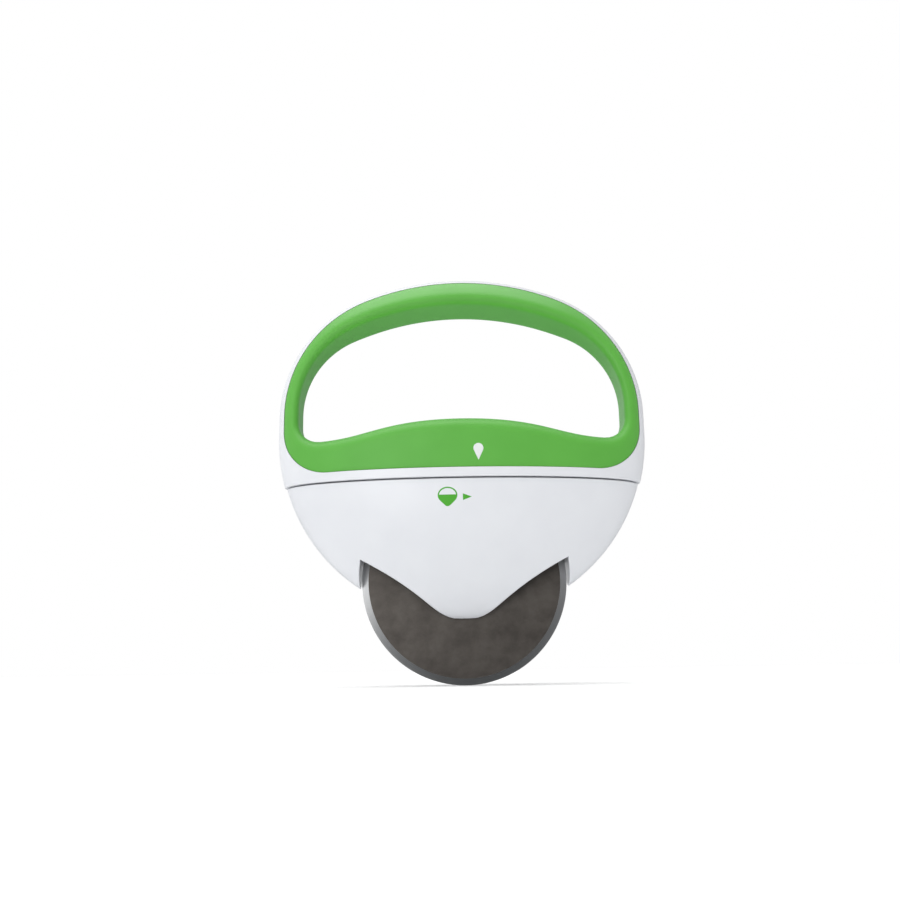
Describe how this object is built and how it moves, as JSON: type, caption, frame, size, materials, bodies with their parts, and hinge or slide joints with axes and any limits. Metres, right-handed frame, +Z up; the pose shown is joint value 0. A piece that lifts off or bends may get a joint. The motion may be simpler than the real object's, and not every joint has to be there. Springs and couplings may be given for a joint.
{
  "type": "rotary cutter",
  "caption": "Palm-grip rotary cutter: lens-shaped white body, soft-lined hand loop, slide-off blade housing with a tongue-shaped guard over a dark bevelled round blade.",
  "frame": {"origin": "lowest point of the blade's edge, in the blade's plane, under the middle of the body", "axes": "+Z up from the blade to the hand loop; +Y away from the marked face, along the blade's axle; +X across, the way the housing slides off"},
  "size_m": [0.1106, 0.034, 0.1232],
  "materials": {
    "white_shell": "white moulded ABS, satin gloss",
    "soft_grip": "green overmoulded thermoplastic elastomer, satin",
    "grip_core": "dark glass-filled nylon",
    "inner_plastic": "light grey acetal",
    "white_mark": "white pad-printed inlay",
    "green_mark": "green pad-printed inlay",
    "blade_coating": "steel with dark non-stick coating, ground bright at the bevel",
    "hub_plastic": "dark acetal",
    "bush_brass": "turned",
    "steel_part": "machined stainless steel",
    "spring_steel": "spring steel strip",
    "steel_screw": "zinc-plated steel"
  },
  "bodies": {
    "handle": {"handle_shell_front": "white_shell", "handle_shell_rear": "white_shell", "handle_screws": "steel_screw", "grip_ring": "soft_grip", "grip_core": "grip_core", "pointer_mark": "white_mark", "rail_plate": "inner_plastic", "rail_screws": "steel_screw", "slide_hooks": "steel_part", "detent_spring": "spring_steel", "detent_rivet": "steel_part"},
    "housing": {"housing_front": "white_shell", "housing_rear": "white_shell", "housing_deck": "inner_plastic", "housing_screws": "steel_screw", "axle_pin": "steel_part", "thrust_washers": "steel_part", "cleaning_mark": "green_mark", "arrow_mark": "green_mark"},
    "blade": {"blade_disc": "blade_coating", "hub_front": "hub_plastic", "hub_rear": "hub_plastic", "hub_rivets": "steel_part", "hub_bush": "bush_brass"}
  },
  "joints": [
    {"name": "housing_slide", "type": "slide", "parent": "handle", "child": "housing", "axis": [1, 0, 0], "range_m": [0, 0.009], "deforming": ["detent_spring"]},
    {"name": "blade_spin", "type": "hinge", "parent": "housing", "child": "blade", "pos_m": [0, 0, 0.03], "axis": [0, 1, 0], "continuous": true}
  ]
}
